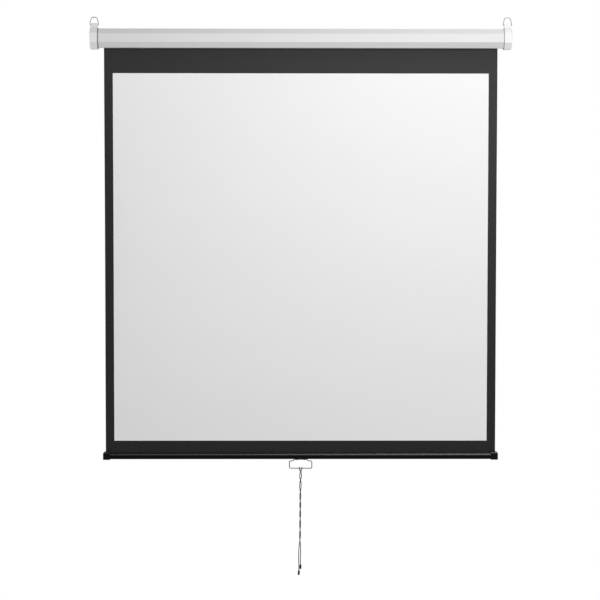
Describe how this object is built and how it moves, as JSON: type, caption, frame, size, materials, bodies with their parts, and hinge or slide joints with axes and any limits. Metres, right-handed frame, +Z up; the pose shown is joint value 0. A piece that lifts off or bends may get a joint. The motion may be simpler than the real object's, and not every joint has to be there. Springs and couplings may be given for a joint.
{
  "type": "pull-down projection screen",
  "caption": "Wall-hung pull-down projection screen: octagonal white case, spring roller, black-bordered matte fabric, weighted bar, wire handle and knotted pull cord.",
  "frame": {"origin": "middle of the line on which the two hanger rings bear on their hooks", "axes": "+X along the case to the viewer's right, +Y back to the wall, +Z up"},
  "size_m": [1.6052, 0.082, 2.137],
  "materials": {
    "white_case": "satin white powder coat",
    "white_plastic": "fine matt moulding",
    "zinc_screws": "zinc plate",
    "steel_wire": "drawn and plated wire",
    "roller_metal": "mill finish",
    "screen_white": "matte white coated cloth",
    "mask_black": "matte black coat",
    "nylon": "natural nylon",
    "machined_steel": "turned steel",
    "spring_steel": "oiled spring wire",
    "black_bar": "satin black coat",
    "black_plastic": "fine matt moulding",
    "black_strap": "black zinc plate",
    "black_cord": "braided polyester cord"
  },
  "bodies": {
    "housing": {"case_shell": "white_case", "left_end_cap": "white_plastic", "right_end_cap": "white_plastic", "end_cap_screws": "zinc_screws", "left_bearing_bush": "nylon", "spring_spindle": "machined_steel", "spring_collar": "nylon", "torsion_spring": "spring_steel", "spindle_clip": "machined_steel", "lock_wheel": "machined_steel", "screen_fabric": "screen_white", "black_mask": "mask_black"},
    "roller": {"roller_tube": "roller_metal", "fabric_wrap": "screen_white", "left_roller_plug": "nylon", "idle_pin": "machined_steel", "right_roller_plug": "nylon", "pawl_pins": "machined_steel", "spring_anchor": "nylon"},
    "first_pawl": {"upper_pawl": "machined_steel"},
    "second_pawl": {"lower_pawl": "machined_steel"},
    "left_ring": {"left_hanger_ring": "steel_wire"},
    "right_ring": {"right_hanger_ring": "steel_wire"},
    "bar": {"bottom_bar": "black_bar", "left_bar_end_cap": "black_plastic", "right_bar_end_cap": "black_plastic", "hem_rod": "machined_steel", "fabric_hem": "screen_white", "handle_straps": "black_strap", "strap_screws": "zinc_screws"},
    "handle": {"pull_handle": "steel_wire"},
    "cord": {"cord_hitch": "black_cord", "cord_short_strand": "black_cord", "cord_long_strand": "black_cord", "short_cord_knot": "black_cord", "long_cord_knot": "black_cord"}
  },
  "joints": [
    {"name": "screen_drop", "type": "slide", "parent": "housing", "child": "bar", "axis": [0, 0, 1], "range_m": [0, 1.541], "deforming": ["screen_fabric", "black_mask"]},
    {"name": "roller_turn", "type": "hinge", "parent": "housing", "child": "roller", "pos_m": [0, 0, -0.078], "axis": [1, 0, 0], "range_deg": [0, 5400]},
    {"name": "upper_pawl_swing", "type": "hinge", "parent": "roller", "child": "first_pawl", "pos_m": [0.765, 0, -0.0625], "axis": [1, 0, 0], "range_deg": [0, 12]},
    {"name": "lower_pawl_swing", "type": "hinge", "parent": "roller", "child": "second_pawl", "pos_m": [0.765, 0, -0.0935], "axis": [1, 0, 0], "range_deg": [0, 12]},
    {"name": "left_ring_swing", "type": "hinge", "parent": "housing", "child": "left_ring", "pos_m": [-0.785, 0, -0.029], "axis": [1, 0, 0], "range_deg": [-90, 90]},
    {"name": "right_ring_swing", "type": "hinge", "parent": "housing", "child": "right_ring", "pos_m": [0.785, 0, -0.029], "axis": [1, 0, 0], "range_deg": [-90, 90]},
    {"name": "handle_swing", "type": "hinge", "parent": "bar", "child": "handle", "pos_m": [0, 0.0144, -1.68855], "axis": [1, 0, 0], "range_deg": [-85, 85]},
    {"name": "cord_swing", "type": "hinge", "parent": "handle", "child": "cord", "pos_m": [0, 0.0144, -1.72305], "axis": [1, 0, 0], "range_deg": [-85, 85]}
  ],
  "couplings": [
    {"joint": "roller_turn", "follows": "screen_drop", "rad_per_m": 61.16},
    {"joint": "cord_swing", "follows": "handle_swing", "ratio": -1}
  ]
}
